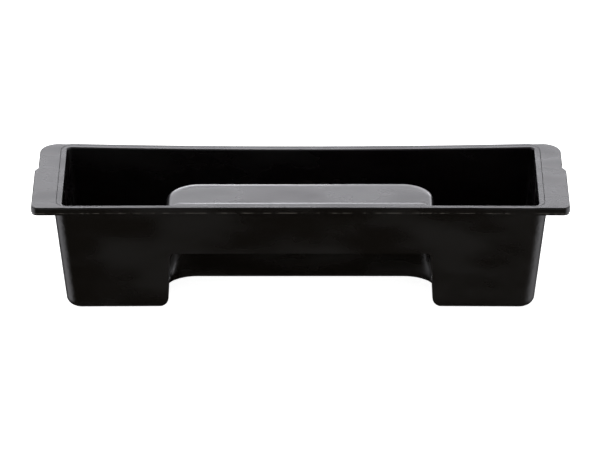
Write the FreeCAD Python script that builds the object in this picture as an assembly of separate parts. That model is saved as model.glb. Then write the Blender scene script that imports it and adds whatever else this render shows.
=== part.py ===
"""Paint roller tray with a drop-in liner, in millimetres.

Two mouldings nest in each other: a rigid outer tray and a thin liner that lifts straight out of it.
Both follow the same shape. Two deep end wells are joined by a trough along the rear, and a raised
shelf fills the front middle. Under the shelf the tray is hollow and open below.

X runs along the tray, Y from front to rear and Z up. The tray stands on z = 0. Depths are measured
down from the rim's top, and y from the rim's front edge until the parts are centred for export.
"""

import FreeCAD, Part
import math
import os

# Overall size
HALF_LENGTH = 270.0
DEPTH = 153.4
HEIGHT = 120.0

# Walls
DRAFT = math.tan(math.radians(5.75))
TRAY_WALL = 3.0
LINER_WALL = 1.5
NEST_GAP = 0.5
SEAM = 0.5

# Rim: a flat flange with a turned-down lip. The long sides bow in at mid-span.
FLANGE_THICK = 3.0
LIP_HEIGHT = 8.4
LIP_THICK = 2.6
LIP_BAND = 2.2
LIP_BAND_INSET = 0.8
RIM_EDGE_RADIUS = 1.4
BOW_FRONT = 1.4
BOW_REAR = 5.8
FLANGE_FRONT_RADIUS = 7.0
FLANGE_REAR_RADIUS = 19.0
FLANGE_STEP_IN = 3.5
FLANGE_STEP_FROM = 88.0
FLANGE_STEP_TO = 98.0

# Outer walls at the rim
WALL_HALF = 248.3
WALL_INSET = 1.0
WALL_RADIUS = 15.0
BASE_RADIUS = 9.0

# The liner's opening at the rim
OPENING_HALF = 239.0
OPENING_FRONT = 6.5
OPENING_REAR = 143.3
OPENING_RADIUS = 5.0

# Shelf, as the sides of its block on the liner's wetted face
SHELF_DEPTH = 10.0
SHELF_HALF_TOP = 135.2
SHELF_HALF_FLOOR = 138.6
SHELF_REAR_TOP = 81.9
SHELF_REAR_FLOOR = 83.4
SHELF_CORNER = 33.2
SHELF_EDGE_RADIUS = 6.0
SHELF_FOOT_RADIUS = 13.0

# Rim land in front of the shelf
LAND_FRONT = OPENING_FRONT + 0.2
LAND_FOOT = OPENING_FRONT + 0.7
LAND_REAR = 14.2
LAND_HALF_REAR = 120.0
LAND_HALF_FRONT = 132.0

# Cut-out in the front wall, below the apron
CUTOUT_DEPTH = 54.5
CUTOUT_RADIUS = 5.0
CAVITY_EDGE_RADIUS = 2.5

# Depths of the nested floors and shelves
TRAY_FLOOR = HEIGHT - TRAY_WALL
LINER_UNDERSIDE = TRAY_FLOOR - NEST_GAP
LINER_FLOOR = LINER_UNDERSIDE - LINER_WALL
LINER_SHELF_UNDER = SHELF_DEPTH + LINER_WALL
TRAY_SHELF = LINER_SHELF_UNDER + NEST_GAP
CAVITY_ROOF = TRAY_SHELF + TRAY_WALL
CAVITY_INWARD = LINER_WALL + NEST_GAP + TRAY_WALL
TRAY_CORNER = BASE_RADIUS - TRAY_WALL
LINER_CORNER = 5.0
LINER_FOOT_RADIUS = SHELF_FOOT_RADIUS - TRAY_WALL - LINER_WALL + NEST_GAP

# Lean of the long sides against the X axis where they leave the corners
LEAN_FRONT = 2 * math.atan(BOW_FRONT / (WALL_HALF - WALL_RADIUS))
LEAN_REAR = 2 * math.atan(BOW_REAR / (WALL_HALF - WALL_RADIUS))

UP = FreeCAD.Vector(0, 0, 1)
CLEAR = 20.0
SAME = 1e-4
FLAT = 0.01
EDGE_STEPS = 6


def z_at(depth):
    """Height above the ground of a level at this depth below the rim."""
    return HEIGHT - depth


def arc(centre, radius, start, end, z):
    """Arc about a centre, between two angles in degrees."""
    def point(angle):
        a = math.radians(angle)
        return FreeCAD.Vector(centre[0] + radius * math.cos(a), centre[1] + radius * math.sin(a), z)
    return Part.Arc(point(start), point((start + end) / 2), point(end)).toShape()


def side(start, end, bow):
    """A long side between two points, bowed by this much towards +Y at its middle."""
    if abs(bow) < SAME:
        return Part.LineSegment(start, end).toShape()
    middle = (start + end) * 0.5 + FreeCAD.Vector(0, bow, 0)
    return Part.Arc(start, middle, end).toShape()


def bow_in(half, radius, lean):
    """How far a long side between corner arcs bows in, where it leans by this angle at its ends."""
    side_radius = (half - radius) / math.sin(lean) - radius
    return side_radius * (1 - math.cos(lean))


def outline(depth, half, front, rear, radius, bowed=True):
    """Closed plan outline of a rounded rectangle at one depth, its long sides bowed inwards if asked."""
    z = z_at(depth)
    x = half - radius
    lean_front, lean_rear = (LEAN_FRONT, LEAN_REAR) if bowed else (0.0, 0.0)
    ahead, behind = math.degrees(lean_front), math.degrees(lean_rear)
    corners = [
        arc((x, front + radius), radius, -90 - ahead, 0, z),
        arc((x, rear - radius), radius, 0, 90 + behind, z),
        arc((-x, rear - radius), radius, 90 - behind, 180, z),
        arc((-x, front + radius), radius, 180, 270 + ahead, z),
    ]
    bows = [0.0, 0.0, 0.0, 0.0]
    if bowed:
        bows = [0.0, -bow_in(half, radius, lean_rear), 0.0, bow_in(half, radius, lean_front)]
    edges = []
    for i, corner in enumerate(corners):
        following = corners[(i + 1) % len(corners)]
        edges += [corner, side(corner.lastVertex().Point, following.firstVertex().Point, bows[i])]
    return Part.Wire(edges)


def stack(levels, bowed=True):
    """Solid through plan outlines, from the top down. Each level is (depth, half, front, rear, radius)."""
    return Part.makeLoft([outline(*level, bowed) for level in levels], True, True)


def prism(wire, thickness):
    """Solid of this thickness below a flat wire."""
    return Part.Face(wire).extrude(UP * -thickness)


def quarter(radius):
    """Steps round a rounded edge, as (how far along the wall, how far off it)."""
    angles = [math.radians(90 * i / EDGE_STEPS) for i in range(EDGE_STEPS + 1)]
    return [(radius * math.sin(a), radius * (1 - math.cos(a))) for a in angles]


def wall_level(depth, inward=0.0):
    """Plan outline of the drafted walls at one depth, inward of their outer faces."""
    slide = DRAFT * depth + inward
    return (depth, WALL_HALF - slide, WALL_INSET + slide, DEPTH - WALL_INSET - slide, WALL_RADIUS - inward)


def opening_level(depth, wall):
    """Plan outline of the liner's walls, this far outside the opening at the rim, nested at its floor."""
    top = (OPENING_HALF + wall, OPENING_FRONT - wall, OPENING_REAR + wall, OPENING_RADIUS + wall)
    floor = wall_level(LINER_FLOOR, TRAY_WALL + NEST_GAP + LINER_WALL - wall)[1:]
    share = depth / LINER_FLOOR
    return (depth, *(a + share * (b - a) for a, b in zip(top, floor)))


def rounded_floor(level, base, radius):
    """Levels from the rim down to a floor with a rounded edge."""
    levels = [level(0)]
    for along, off in quarter(radius):
        depth, half, front, rear, corner = level(base - radius + along)
        levels.append((depth, half - off, front + off, rear - off, corner - off))
    return levels


def block(inward, top, base, top_radius, base_radius):
    """The raised block under the shelf, moved inward from the liner's wetted face. Open to the front."""
    def level(depth, off):
        share = (depth - SHELF_DEPTH) / (LINER_FLOOR - SHELF_DEPTH)
        half = SHELF_HALF_TOP + share * (SHELF_HALF_FLOOR - SHELF_HALF_TOP) - inward - off
        rear = SHELF_REAR_TOP + share * (SHELF_REAR_FLOOR - SHELF_REAR_TOP) - inward - off
        return (depth, half, -3 * CLEAR, rear, SHELF_CORNER - inward - off)

    levels = [level(top + top_radius - along, off) for along, off in reversed(quarter(top_radius))]
    levels += [level(base - base_radius + along, -off) for along, off in quarter(base_radius)]
    levels.append((base + CLEAR, *levels[-1][1:]))
    return stack(levels, bowed=False)


def flat_edges(shape, depth):
    """The edges that lie flat at one depth."""
    def at(z):
        return abs(z - z_at(depth)) < FLAT
    return [e for e in shape.Edges if at(e.BoundBox.ZMin) and at(e.BoundBox.ZMax)]


def s_bend(start, end, z, along_x=True):
    """Two equal arcs joining parallel lines, as a smooth step between them."""
    run, rise = end[0] - start[0], end[1] - start[1]
    if not along_x:
        run, rise = rise, run

    def point(u, v):
        x, y = (u, v) if along_x else (v, u)
        return FreeCAD.Vector(start[0] + x, start[1] + y, z)

    half_turn = math.atan2(abs(rise), abs(run))
    radius = abs(run) / (4 * math.sin(half_turn) * math.cos(half_turn))
    u = math.copysign(radius * math.sin(half_turn), run)
    v = math.copysign(radius * (1 - math.cos(half_turn)), rise)
    first = Part.Arc(point(0, 0), point(u, v), point(run / 2, rise / 2)).toShape()
    second = Part.Arc(point(run / 2, rise / 2), point(run - u, rise - v), point(run, rise)).toShape()
    return [first, second]


def line(a, b, z):
    """Straight edge between two plan points."""
    return Part.LineSegment(FreeCAD.Vector(*a, z), FreeCAD.Vector(*b, z)).toShape()


def mirrored(shape):
    """The same shape on the other end of the tray."""
    return shape.mirror(FreeCAD.Vector(0, 0, 0), FreeCAD.Vector(1, 0, 0))


def flange_outline(inset):
    """The rim's outer outline, inset all round. The ends step in towards the rear."""
    half = HALF_LENGTH - inset
    rear_half = half - FLANGE_STEP_IN
    rear_edge = DEPTH - inset
    z = HEIGHT
    front_r = FLANGE_FRONT_RADIUS - inset
    rear_r = FLANGE_REAR_RADIUS - inset
    front_centre = (half - front_r, inset + front_r)
    rear_centre = (rear_half - rear_r, rear_edge - rear_r)
    right = [arc(front_centre, front_r, -90 - math.degrees(LEAN_FRONT), 0, z)]
    right.append(line((half, front_centre[1]), (half, FLANGE_STEP_FROM), z))
    right += s_bend((half, FLANGE_STEP_FROM), (rear_half, FLANGE_STEP_TO), z, along_x=False)
    right.append(line((rear_half, FLANGE_STEP_TO), (rear_half, rear_centre[1]), z))
    right.append(arc(rear_centre, rear_r, 0, 90 + math.degrees(LEAN_REAR), z))
    left = [mirrored(edge) for edge in right]
    rear_bow = bow_in(rear_half, rear_r, LEAN_REAR)
    front_bow = bow_in(half, front_r, LEAN_FRONT)
    rear = side(right[-1].lastVertex().Point, left[-1].lastVertex().Point, -rear_bow)
    front = side(left[0].firstVertex().Point, right[0].firstVertex().Point, front_bow)
    return Part.Wire(Part.__sortEdges__(right + left + [rear, front]))


def rim():
    """Flange with its turned-down lip. The lip's lowest band stands back a little."""
    plate = prism(flange_outline(0), FLANGE_THICK)
    upper = prism(flange_outline(0), LIP_HEIGHT - LIP_BAND)
    lower = prism(flange_outline(LIP_BAND_INSET), LIP_HEIGHT)
    inside = prism(flange_outline(LIP_THICK), LIP_HEIGHT + CLEAR)
    solid = upper.fuse(lower).cut(inside).fuse(plate).removeSplitter()
    return solid.makeFillet(RIM_EDGE_RADIUS, flat_edges(solid, 0))


def land(inward, front, top, base):
    """The rim's wider stretch in front of the shelf, with S-shaped ends, moved inward by a wall."""
    z = z_at(top)
    back = LAND_REAR - inward
    foot = LAND_FOOT - inward
    right_foot = (LAND_HALF_FRONT - inward, foot)
    right_back = (LAND_HALF_REAR - inward, back)
    bend = s_bend(right_foot, right_back, z)
    edges = bend + [mirrored(edge) for edge in bend] + [
        line(right_back, (-right_back[0], back), z),
        line(right_foot, (right_foot[0], front), z),
        line((-right_foot[0], foot), (-right_foot[0], front), z),
        line((-right_foot[0], front), (right_foot[0], front), z),
    ]
    return prism(Part.Wire(Part.__sortEdges__(edges)), base - top)


def apron():
    """The front wall's stretch that hangs in front of the hollow, down to the cut-out."""
    ring = stack([wall_level(0), wall_level(HEIGHT)])
    ring = ring.cut(stack([wall_level(0, TRAY_WALL), wall_level(HEIGHT, TRAY_WALL)]))
    ring = ring.cut(block(CAVITY_INWARD, CUTOUT_DEPTH, HEIGHT, CUTOUT_RADIUS, SHELF_FOOT_RADIUS))
    low = z_at(CUTOUT_DEPTH + 2 * CUTOUT_RADIUS)
    corner = FreeCAD.Vector(-SHELF_HALF_TOP, -CLEAR, low)
    return ring.common(Part.makeBox(2 * SHELF_HALF_TOP, 2 * CLEAR, HEIGHT - low, corner))


def tray_walls():
    """Outer form of the walls, hollow under the shelf, with the apron across the hollow's front."""
    form = stack(rounded_floor(wall_level, HEIGHT, BASE_RADIUS))
    form = form.cut(block(CAVITY_INWARD, CAVITY_ROOF, HEIGHT, CAVITY_EDGE_RADIUS, SHELF_FOOT_RADIUS))
    return form.fuse(apron())


def outer_tray():
    """The rigid moulding: rim, walls, floor, shelf and apron."""
    def inner_face(depth):
        return wall_level(depth, TRAY_WALL)

    inward = LINER_WALL + NEST_GAP
    room = stack(rounded_floor(inner_face, TRAY_FLOOR, TRAY_CORNER))
    foot = SHELF_FOOT_RADIUS - TRAY_WALL
    room = room.cut(block(inward, TRAY_SHELF, TRAY_FLOOR, SHELF_EDGE_RADIUS - LINER_WALL, foot))
    return rim().fuse(tray_walls()).cut(room)


def liner():
    """The thin moulding that drops into the tray and fills its opening level with the flange."""
    def skin(wall):
        def face(depth):
            return opening_level(depth, wall)

        floor, corner = LINER_FLOOR + wall, LINER_CORNER + wall
        room = stack(rounded_floor(face, floor, corner))
        foot = LINER_FOOT_RADIUS + wall
        return room.cut(block(wall, SHELF_DEPTH + wall, floor, SHELF_EDGE_RADIUS - wall, foot))

    rim_plate = prism(outline(*wall_level(0, TRAY_WALL + SEAM)), LINER_WALL)
    body = skin(LINER_WALL).fuse(rim_plate).cut(skin(0)).fuse(land(0, LAND_FRONT, 0, SHELF_DEPTH))
    return body.cut(land(LINER_WALL, -CLEAR, LINER_WALL, LINER_SHELF_UNDER))


def export(shape, name):
    """Centre the part over its footprint and write it as one solid."""
    solid = shape.Solids[0].translated(FreeCAD.Vector(0, -DEPTH / 2, 0))
    solid.exportStep("parts/" + name + ".step")
    print(name, len(shape.Solids), "solid", solid.isValid(), round(solid.Volume / 1000, 1), "cm3")


os.makedirs("parts", exist_ok=True)
export(outer_tray(), "outer_tray")
export(liner(), "drop_in_liner")
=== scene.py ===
# %% [markdown]
# # A paint roller tray with a drop-in liner
#
# A long black tray is moulded with a flanged rim, two deep end wells, a trough along the rear and a
# raised shelf in the front middle. A thin liner of the same form drops into it. The shapes and sizes come
# from the CAD model, so this lesson loads that first, then softens the edges of both mouldings, gives
# each its plastic, and sets up the floor, the light and the camera.

# %% Load the CAD model
import math

import bmesh
import bpy
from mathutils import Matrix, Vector


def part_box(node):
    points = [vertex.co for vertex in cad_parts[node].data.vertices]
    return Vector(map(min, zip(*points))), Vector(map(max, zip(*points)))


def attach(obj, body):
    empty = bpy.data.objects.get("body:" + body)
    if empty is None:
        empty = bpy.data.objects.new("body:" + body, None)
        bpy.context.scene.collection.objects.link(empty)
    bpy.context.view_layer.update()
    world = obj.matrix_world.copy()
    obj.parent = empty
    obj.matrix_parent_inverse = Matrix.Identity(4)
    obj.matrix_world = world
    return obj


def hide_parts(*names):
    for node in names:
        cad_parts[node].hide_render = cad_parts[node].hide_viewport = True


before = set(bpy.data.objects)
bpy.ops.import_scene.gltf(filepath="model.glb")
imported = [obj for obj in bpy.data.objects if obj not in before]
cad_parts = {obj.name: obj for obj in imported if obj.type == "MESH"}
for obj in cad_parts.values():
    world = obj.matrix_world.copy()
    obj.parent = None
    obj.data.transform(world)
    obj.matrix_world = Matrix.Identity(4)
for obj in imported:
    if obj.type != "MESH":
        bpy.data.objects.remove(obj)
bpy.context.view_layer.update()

MM = 0.001

# %% [markdown]
# ## Rounded edges
#
# A mould's edges are never knife sharp, and a rounded edge is what catches the light. The CAD model
# leaves most of its small edges square. They could be rounded by a Bevel modifier, but one width for
# all would be wrong: the mouth of the liner is rounder than the lower edge of the front wall. So each
# node is copied, its loose triangles are joined into flat faces, and each group of edges is picked by
# where it lies and bevelled with its own radius.

# %% A joined copy of a CAD node
WELD = 0.002 * MM
IN_ONE_PLANE = math.radians(0.2)


def joined_copy(node):
    """A bmesh of the node, with its triangles joined where they lie in one plane."""
    bm = bmesh.new()
    bm.from_mesh(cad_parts[node].data)
    bmesh.ops.remove_doubles(bm, verts=bm.verts, dist=WELD)
    bmesh.ops.dissolve_limit(bm, angle_limit=IN_ONE_PLANE, verts=bm.verts, edges=bm.edges)
    print(node, "joined into", len(bm.faces), "faces")
    return bm


# %% Pick the sharp outward edges of a region
SHARP = math.radians(35)


def sharp_edges(bm, inside):
    """Edges that point outwards by more than SHARP, with both ends where inside() says yes."""
    def outward(edge):
        return len(edge.link_faces) == 2 and edge.calc_face_angle_signed() > SHARP
    return [e for e in bm.edges if outward(e) and all(inside(v.co) for v in e.verts)]


def round_edges(bm, edges, radius, segments):
    """Bevel the edges to a round of this radius."""
    bmesh.ops.bevel(bm, geom=edges, offset=radius, offset_type="OFFSET", segments=segments,
                    profile=0.5, affect="EDGES", clamp_overlap=False, material=-1)


# %% Shade a finished moulding and put it on its body
def finish_moulding(bm, name, node, body):
    """Make the object that stands for the node. Wide faces keep flat normals, so rounds stay crisp."""
    bmesh.ops.remove_doubles(bm, verts=bm.verts, dist=WELD)
    for face in bm.faces:
        face.smooth = True
    for edge in bm.edges:
        edge.smooth = len(edge.link_faces) == 2 and edge.calc_face_angle(0.0) < SHARP
    mesh = bpy.data.meshes.new(name)
    bm.to_mesh(mesh)
    bm.free()
    piece = bpy.data.objects.new(name, mesh)
    bpy.context.scene.collection.objects.link(piece)
    normals = piece.modifiers.new("even normals", "WEIGHTED_NORMAL")
    normals.keep_sharp = True
    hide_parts(node)
    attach(piece, body)
    print(name, len(mesh.polygons), "faces")
    return piece


# %% [markdown]
# ## The outer tray
#
# This is the rigid moulding: rim, lip, walls and the hollow block under the shelf. The front wall is cut
# away below the shelf, and what is left above the cut-out is its apron. The cut-out's upright corners get
# a round that shows as a paler strip beside the dark hollow, and the apron's lower edge gets a slight one.
# The rim's round comes from the CAD model.

# %% Round the tray's edges
CUTOUT_SIDE_FROM = 124 * MM
CUTOUT_SIDE_TO = 140 * MM
CUTOUT_TOP = 67 * MM
CUTOUT_CORNER = 6 * MM
APRON_LOWEST = 55 * MM
WALL_FRONT = -60 * MM
UPRIGHT_RADIUS = 1.2 * MM
APRON_RADIUS = 0.5 * MM

tray_bm = joined_copy("outer_tray")


def beside_cutout(p):
    """True at the upright edges where the front wall meets the hollow."""
    beside = CUTOUT_SIDE_FROM < abs(p.x) < CUTOUT_SIDE_TO
    return beside and p.y < WALL_FRONT and p.z < CUTOUT_TOP - CUTOUT_CORNER


def below_apron(p):
    """True at the apron's lower edge."""
    return abs(p.x) < CUTOUT_SIDE_TO and p.y < WALL_FRONT and APRON_LOWEST < p.z < CUTOUT_TOP


upright = sharp_edges(tray_bm, beside_cutout)
print("upright cut-out edges:", len(upright))
round_edges(tray_bm, upright, UPRIGHT_RADIUS, 3)
lower = sharp_edges(tray_bm, below_apron)
print("apron edges:", len(lower))
round_edges(tray_bm, lower, APRON_RADIUS, 2)
tray = finish_moulding(tray_bm, "tray_moulding", "outer_tray", "tray")

# %% [markdown]
# ## The liner
#
# The liner is drawn from thin sheet over a mould, so it has no truly flat panel with a hard border. The
# shelf is crowned: its last few millimetres slope down to its edge, and that slope is what shows as a
# bright line. Insetting the flat face and lifting the inner part by a third of a millimetre makes the
# slope, and smooth normals blend it into the round below, which comes from the CAD model.

# %% Crown the liner's shelf
RIM_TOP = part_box("outer_tray")[1].z
SHELF_DEPTH = 10 * MM
CROWN_WIDTH = 4 * MM
CROWN_HEIGHT = 0.35 * MM
NEAR = 0.05 * MM
FACING_UP = 0.999

liner_bm = joined_copy("drop_in_liner")


def flat_faces(height):
    """The liner's faces that look straight up and lie at this height."""
    return [face for face in liner_bm.faces
            if face.normal.z > FACING_UP and abs(face.calc_center_median().z - height) < NEAR]


shelf_top = flat_faces(RIM_TOP - SHELF_DEPTH)
bmesh.ops.inset_region(liner_bm, faces=shelf_top, thickness=CROWN_WIDTH, depth=CROWN_HEIGHT,
                       use_even_offset=True, use_boundary=True)
print("shelf faces crowned:", len(shelf_top))

# %% [markdown]
# ## The liner's mouth
#
# Where the sheet bends from the rim down into the tray it rolls over in a small round. Only the edges
# that look inwards, across the opening, are picked: the outer edge of the liner's rim is trimmed square.

# %% Round the liner's mouth
MOUTH_RADIUS = 1.4 * MM
LINER_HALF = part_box("drop_in_liner")[1].x
LINER_DEPTH_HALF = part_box("drop_in_liner")[1].y


def at_rim(p):
    """True on the liner's top plane."""
    return p.z > RIM_TOP - NEAR


def faces_opening(edge):
    """True if the upright face beside the edge looks inwards, across the opening."""
    upright_face = min(edge.link_faces, key=lambda face: abs(face.normal.z))
    middle = (edge.verts[0].co + edge.verts[1].co) / 2
    return (upright_face.normal.x * middle.x / LINER_HALF ** 2
            + upright_face.normal.y * middle.y / LINER_DEPTH_HALF ** 2) < 0


mouth = [e for e in sharp_edges(liner_bm, at_rim) if faces_opening(e)]
print("mouth edges:", len(mouth))
round_edges(liner_bm, mouth, MOUTH_RADIUS, 4)

# %% [markdown]
# ## The liner's front land
#
# In front of the shelf the rim widens into a land, and its rear edge shows as a second bright line. A
# round alone is too narrow to catch the light from this low, so the land is cut across just before that
# edge and everything behind the cut is let down a little, which makes a gentle slope.

# %% Slope the land's rear edge
LAND_HALF = 127 * MM
LAND_BEHIND = -50 * MM
LAND_SLOPE = 1.6 * MM
LAND_DROP = 0.17 * MM
CUT_SNAP = 0.001 * MM


def on_land(p):
    """True for points at the top of the widened stretch of the rim, round included."""
    return abs(p.x) < LAND_HALF and p.y < LAND_BEHIND and p.z > RIM_TOP - 1.1 * MOUTH_RADIUS


land_edge = max(v.co.y for v in liner_bm.verts if on_land(v.co) and at_rim(v.co))
fold = land_edge - LAND_SLOPE
top_faces = flat_faces(RIM_TOP)
top_edges = [edge for edge in liner_bm.edges if any(face in top_faces for face in edge.link_faces)]
top_verts = [vert for vert in liner_bm.verts if any(face in top_faces for face in vert.link_faces)]
bmesh.ops.bisect_plane(liner_bm, geom=top_faces + top_edges + top_verts,
                       plane_co=(0, fold, 0), plane_no=(0, 1, 0), dist=CUT_SNAP)
behind_fold = [v for v in liner_bm.verts if on_land(v.co) and v.co.y > fold + NEAR]
bmesh.ops.translate(liner_bm, vec=(0, 0, -LAND_DROP), verts=behind_fold)
print("land points let down:", len(behind_fold))
liner = finish_moulding(liner_bm, "liner_moulding", "drop_in_liner", "liner")

# %% [markdown]
# ## Colour and nodes
#
# Colours are written as the hex values a paint program shows. Blender works in linear light, so one
# function turns them. Another adds one shader node with its settings and its links.

# %% Two small helpers
def linear(hex_colour):
    """sRGB hex to a linear RGBA tuple."""
    channels = [int(hex_colour[i:i + 2], 16) / 255 for i in (1, 3, 5)]
    return tuple(c / 12.92 if c <= 0.04045 else ((c + 0.055) / 1.055) ** 2.4 for c in channels) + (1.0,)


def node(tree, kind, inputs=None, **settings):
    """Add a shader node. An input given an output socket is linked to it, any other is set to the value."""
    made = tree.nodes.new("ShaderNode" + kind)
    for key, value in settings.items():
        setattr(made, key, value)
    for key, value in (inputs or {}).items():
        if isinstance(value, bpy.types.NodeSocket):
            tree.links.new(value, made.inputs[key])
        else:
            made.inputs[key].default_value = value
    return made


# %% [markdown]
# ## Moulded polypropylene
#
# The tray is injection-moulded polypropylene, coloured through with carbon black. It is dark enough that
# nearly all of its look is the reflection in its skin: broad and soft, because the mould has a satin
# finish, and slightly uneven, because the plastic flows and shrinks as it cools. Pattern sizes are real
# ones: orange peel about 2.5 mm across, the smallest that shows at this distance, and cooling marks
# about 40 mm across that stretch along the flow.

# %% Shared skin of both black plastics
ORANGE_PEEL = 2.5 * MM
COOLING_MARK = 40 * MM
ALONG_THE_FLOW = (0.45, 1.0, 1.0)
PLASTIC_IOR = 1.5


def plastic(name, dark, pale, roughness, peel, mark):
    """A black plastic with bumps this high. Returns the material, its coordinates and its tone."""
    material = bpy.data.materials.new(name)
    material.use_nodes = True
    tree = material.node_tree
    shader = tree.nodes["Principled BSDF"]
    place = node(tree, "TexCoord").outputs["Object"]
    flow = node(tree, "Mapping", {"Vector": place, "Scale": ALONG_THE_FLOW}).outputs["Vector"]
    marks = node(tree, "TexNoise", {"Vector": flow, "Scale": 1 / COOLING_MARK, "Detail": 3.0}).outputs[0]
    grain = node(tree, "TexNoise", {"Vector": place, "Scale": 1 / ORANGE_PEEL, "Detail": 2.0}).outputs[0]
    paler = node(tree, "MapRange", {"Value": marks, "From Min": 0.35, "From Max": 0.7},
                 interpolation_type="SMOOTHSTEP").outputs["Result"]
    tone = node(tree, "Mix", {0: paler, 6: linear(dark), 7: linear(pale)}, data_type="RGBA").outputs[2]
    tree.links.new(tone, shader.inputs["Base Color"])
    duller = node(tree, "MapRange", {"Value": marks, "From Min": 0.3, "From Max": 0.7,
                                     "To Min": roughness[0], "To Max": roughness[1]},
                  interpolation_type="SMOOTHSTEP").outputs["Result"]
    tree.links.new(duller, shader.inputs["Roughness"])
    shader.inputs["IOR"].default_value = PLASTIC_IOR
    fine = node(tree, "Bump", {"Height": grain, "Distance": peel, "Strength": 1.0})
    broad = node(tree, "Bump", {"Height": marks, "Distance": mark, "Strength": 1.0,
                                "Normal": fine.outputs["Normal"]})
    tree.links.new(broad.outputs["Normal"], shader.inputs["Normal"])
    return material, place, tone


# %% [markdown]
# ## A painted highlight at the parting line
#
# Near the foot of the rim's lip the two halves of the mould met and left a thin ridge. Along it the tray's
# material has a painted highlight: a paler band on the height, in ragged stretches.

# %% Give the tray its polypropylene
PARTING_LINE = RIM_TOP - 6.2 * MM
PARTING_HALF = 1.1 * MM
HIGHLIGHT_STRETCH = 9 * MM

polypropylene, place, tone = plastic(
    "moulded black polypropylene", "#090705", "#100E0C", (0.18, 0.4), 0.01 * MM, 0.2 * MM)
tree = polypropylene.node_tree
height = node(tree, "SeparateXYZ", {"Vector": place}).outputs["Z"]
patches = node(tree, "TexNoise", {"Vector": place, "Scale": 1 / HIGHLIGHT_STRETCH, "Detail": 5.0,
                                  "Roughness": 0.7}).outputs[0]
# Ragged stretches of a painted highlight along the ridge at the foot of the lip.
painted_highlight = node(tree, "MapRange", {"Value": patches, "From Min": 0.42, "From Max": 0.62},
            interpolation_type="SMOOTHSTEP").outputs["Result"]
for start, end, before, beyond in ((PARTING_LINE - PARTING_HALF, PARTING_LINE, 0.0, 1.0),
                                   (PARTING_LINE, PARTING_LINE + PARTING_HALF, 1.0, 0.0)):
    side = node(tree, "MapRange", {"Value": height, "From Min": start, "From Max": end,
                                   "To Min": before, "To Max": beyond}, interpolation_type="SMOOTHSTEP")
    painted_highlight = node(tree, "Math", {0: painted_highlight, 1: side.outputs["Result"]}, operation="MULTIPLY").outputs[0]
# The paler colour is a painted highlight, mixed in where the band and its stretches meet.
highlighted_tone = node(tree, "Mix", {0: painted_highlight, 6: tone, 7: linear("#3A3733")}, data_type="RGBA").outputs[2]
tree.links.new(highlighted_tone, tree.nodes["Principled BSDF"].inputs["Base Color"])
tray.data.materials.append(polypropylene)
print(polypropylene.name, len(tree.nodes), "nodes")

# %% [markdown]
# ## Thermoformed polystyrene
#
# The liner is thin black polystyrene sheet, drawn hot over a mould. Sheet keeps more of its gloss than a
# moulding, and its broad surfaces are a little wavy where it cooled unevenly.

# %% Give the liner its polystyrene
polystyrene = plastic(
    "thermoformed black polystyrene", "#060405", "#0A0808", (0.16, 0.36), 0.006 * MM, 0.2 * MM)[0]
liner.data.materials.append(polystyrene)
for name, material in (("outer_tray", polypropylene), ("drop_in_liner", polystyrene)):
    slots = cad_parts[name].data.materials
    slots.clear()
    slots.append(material)
print(polystyrene.name, len(polystyrene.node_tree.nodes), "nodes")

# %% [markdown]
# ## Floor
#
# A wide, pale, matt floor, far larger than the view. Black gloss plastic is a mirror for whatever is near
# it, and a white floor would turn the front wall grey. So the floor isn't seen in reflections: the
# world below stands in for it there. It also glows, so that it stays white in the tray's shade.

# %% Make the floor
FLOOR_HALF = 40.0
FLOOR_GLOW = 0.88

floor_bm = bmesh.new()
bmesh.ops.create_grid(floor_bm, x_segments=1, y_segments=1, size=FLOOR_HALF)
floor_mesh = bpy.data.meshes.new("floor")
floor_bm.to_mesh(floor_mesh)
floor_bm.free()
floor = bpy.data.objects.new("floor", floor_mesh)
bpy.context.scene.collection.objects.link(floor)
floor.visible_glossy = False
paper = bpy.data.materials.new("matt white paper")
paper.use_nodes = True
sheet = paper.node_tree.nodes["Principled BSDF"].inputs
sheet["Base Color"].default_value = linear("#F4F4F4")
sheet["Roughness"].default_value = 0.9
sheet["Specular IOR Level"].default_value = 0.0
sheet["Emission Color"].default_value = linear("#FFFFFF")
sheet["Emission Strength"].default_value = FLOOR_GLOW
floor.data.materials.append(paper)
print("floor", 2 * FLOOR_HALF, "m wide")

# %% [markdown]
# ## The shade under the hollow
#
# The floor isn't seen in reflections, so its shaded patch under the hollow isn't either, and the hollow's
# corners would mirror the bright ends of the studio. A black card that only reflections see puts the
# shade back.

# %% Lay the card
SHADE_CLEAR = 0.1 * MM
SHADE_HALF_LENGTH = 133 * MM
SHADE_HALF_DEPTH = 40 * MM
hollow = Vector((0.0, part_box("outer_tray")[0].y + SHADE_HALF_DEPTH, SHADE_CLEAR))

shade_bm = bmesh.new()
bmesh.ops.create_grid(shade_bm, x_segments=1, y_segments=1, size=1.0)
bmesh.ops.scale(shade_bm, vec=Vector((SHADE_HALF_LENGTH, SHADE_HALF_DEPTH, 1.0)), verts=shade_bm.verts)
bmesh.ops.translate(shade_bm, vec=hollow, verts=shade_bm.verts)
shade_mesh = bpy.data.meshes.new("shade")
shade_bm.to_mesh(shade_mesh)
shade_bm.free()
shade = bpy.data.objects.new("shade", shade_mesh)
bpy.context.scene.collection.objects.link(shade)
shade.visible_camera = False
shade.visible_diffuse = False
shade.visible_shadow = False
card = bpy.data.materials.new("black card")
card.use_nodes = True
black = card.node_tree.nodes["Principled BSDF"].inputs
black["Base Color"].default_value = linear("#000000")
black["Specular IOR Level"].default_value = 0.0
shade.data.materials.append(card)
print("shade", 2 * SHADE_HALF_LENGTH, "x", 2 * SHADE_HALF_DEPTH, "m")

# %% [markdown]
# ## Light
#
# Everything pale on this object is a reflection, so the light is planned by direction. A flat top seen
# from 26 degrees above mirrors what lies 26 degrees above the horizon behind it, so a broad bright screen
# stands there, and a brighter strip lower on it picks out edges that slope away, such as the shelf's. The
# front walls mirror the ground in front, which is kept dark, and the rounded ends mirror the ground at
# the sides, which is half bright. Matt surfaces get an even, soft dome instead.

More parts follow.
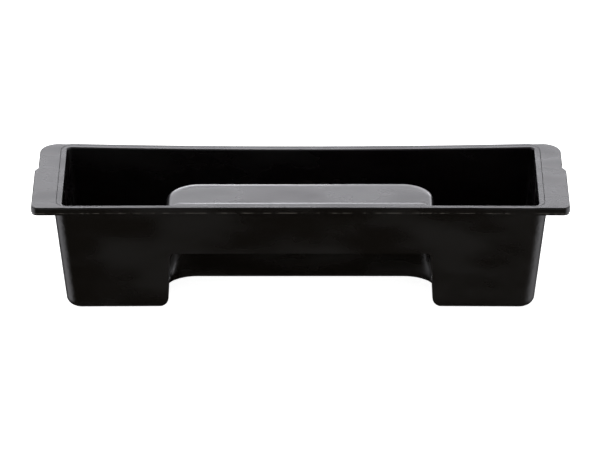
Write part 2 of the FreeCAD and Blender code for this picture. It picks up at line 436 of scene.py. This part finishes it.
# %% Where each light starts and stops
# Each band: the axis of the direction, from where to where it changes, and its share before and beyond.
BANDS = {
    "behind": ("Y", 0.05, 0.45, 0.0, 1.0),
    "screen side": ("X", 0.2, 0.42, 1.0, 0.0),
    "screen foot": ("Z", -0.55, -0.45, 0.0, 1.0),
    "screen head": ("Z", 0.56, 0.72, 1.0, 0.0),
    "strip foot": ("Z", 0.08, 0.18, 0.0, 1.0),
    "strip head": ("Z", 0.26, 0.38, 1.0, 0.0),
    "ends": ("X", 0.55, 0.9, 0.0, 1.0),
    "upper": ("Z", 0.0, 0.5, 0.0, 1.0),
}
# Each light: its strength, and the bands that it fills.
LIGHTS = {
    "screen": (1.6, ("behind", "screen side", "screen foot", "screen head")),
    "strip": (5.0, ("behind", "screen side", "strip foot", "strip head")),
    "ends": (1.7, ("ends",)),
    "upper": (0.25, ("upper",)),
}
LEAST_LIGHT = 0.02
print("lights:", ", ".join(LIGHTS))

# %% The world as reflections see it
world = bpy.data.worlds.new("studio")
bpy.context.scene.world = world
world.use_nodes = True
world.cycles.sampling_method = "NONE"
tree = world.node_tree
direction = node(tree, "TexCoord").outputs["Generated"]
parts = node(tree, "SeparateXYZ", {"Vector": direction}).outputs
sideways = node(tree, "Math", {0: parts["X"]}, operation="ABSOLUTE").outputs[0]
along = {"X": sideways, "Y": parts["Y"], "Z": parts["Z"]}

shares = {}
for name, (axis, start, end, before, beyond) in BANDS.items():
    shares[name] = node(tree, "MapRange", {"Value": along[axis], "From Min": start, "From Max": end,
                                           "To Min": before, "To Max": beyond},
                        interpolation_type="SMOOTHSTEP").outputs["Result"]
glow = LEAST_LIGHT
for strength, bands in LIGHTS.values():
    light = strength
    for band in bands:
        light = node(tree, "Math", {0: light, 1: shares[band]}, operation="MULTIPLY").outputs[0]
    glow = node(tree, "Math", {0: glow, 1: light}, operation="ADD").outputs[0]
print("bands of light:", len(shares))

# %% The world as matt surfaces and the camera see it
STUDIO_TINT = (0.985, 0.98, 1.03, 1.0)
DOME_LIGHT = 1.12

rays = node(tree, "LightPath")
studio = node(tree, "Background", {"Color": STUDIO_TINT, "Strength": glow})
dome = node(tree, "Background", {"Color": linear("#FFFFFF"), "Strength": DOME_LIGHT})
chosen = node(tree, "MixShader", {0: rays.outputs["Is Glossy Ray"], 1: dome.outputs[0],
                                  2: studio.outputs[0]})
tree.links.new(chosen.outputs[0], tree.nodes["World Output"].inputs["Surface"])
bpy.context.scene.view_settings.view_transform = "Standard"
print("world", len(tree.nodes), "nodes")

# %% [markdown]
# ## Camera
#
# A long lens, straight on and 26 degrees above the horizon, so the sides barely converge.

# %% Place the camera
ELEVATION = math.radians(26)
DISTANCE = 5.2
LENS_MM = 312
SENSOR_MM = 36
SEE_AS_FAR_AS = 100
RIM_FRONT = Vector((0.0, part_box("outer_tray")[0].y, RIM_TOP))
ABOVE_CENTRE = 16.6 * MM
BESIDE_CENTRE = 0.5 * MM

camera_data = bpy.data.cameras.new("camera")
camera_data.lens = LENS_MM
camera_data.sensor_width = SENSOR_MM
camera_data.clip_end = SEE_AS_FAR_AS
camera = bpy.data.objects.new("camera", camera_data)
bpy.context.scene.collection.objects.link(camera)
ahead = Vector((0.0, math.cos(ELEVATION), -math.sin(ELEVATION)))
up = Vector((0.0, math.sin(ELEVATION), math.cos(ELEVATION)))
camera.location = RIM_FRONT - ahead * DISTANCE - up * ABOVE_CENTRE - Vector((BESIDE_CENTRE, 0, 0))
camera.rotation_euler = (math.pi / 2 - ELEVATION, 0, 0)
bpy.context.scene.camera = camera
print("camera at", tuple(round(c, 3) for c in camera.location))

# %% [markdown]
# ## Update the scene
#
# Blender's view layer is brought up to date. The finished pieces must stay inside the CAD model's
# box.

# %% Update the view layer
bpy.context.view_layer.update()
